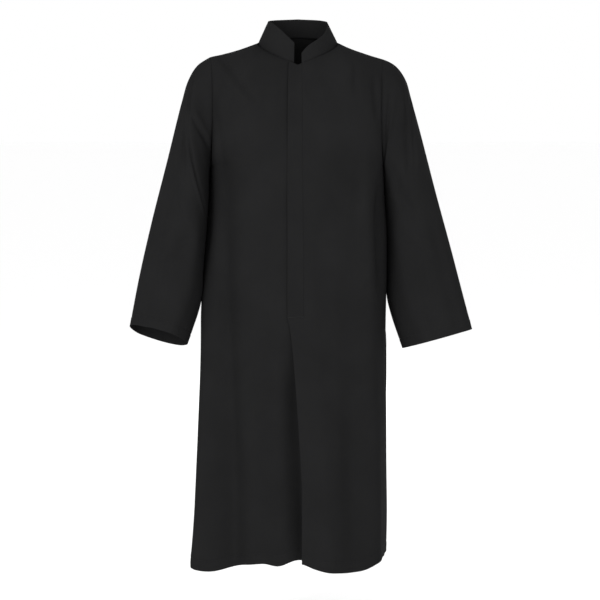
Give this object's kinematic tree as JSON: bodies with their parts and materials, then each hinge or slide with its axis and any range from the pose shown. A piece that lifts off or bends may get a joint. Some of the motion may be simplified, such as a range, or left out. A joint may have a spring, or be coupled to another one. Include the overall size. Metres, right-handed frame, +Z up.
{
  "type": "worn imam robe",
  "caption": "Ankle-length black robe in its worn form: stand collar, concealed fly, wide set-in sleeves, side-seam pockets.",
  "frame": {"origin": "middle of the neck at the height of the shoulders, where the wearer holds the robe", "axes": "+Z up from the hem to the collar, -Y the way the front faces, +X the wearer's left"},
  "size_m": [0.816, 0.3358, 1.3241],
  "materials": {
    "cloth": "matte black suiting with a fine twill weave",
    "collar_cloth": "matte black suiting, stiffened",
    "pocketing": "smooth black pocket lining"
  },
  "bodies": {
    "root": {"front_right": "cloth", "front_left": "cloth", "back": "cloth", "sleeve_right": "cloth", "sleeve_left": "cloth", "collar": "collar_cloth", "placket": "cloth", "pocket_right": "pocketing", "pocket_left": "pocketing"}
  },
  "joints": []
}
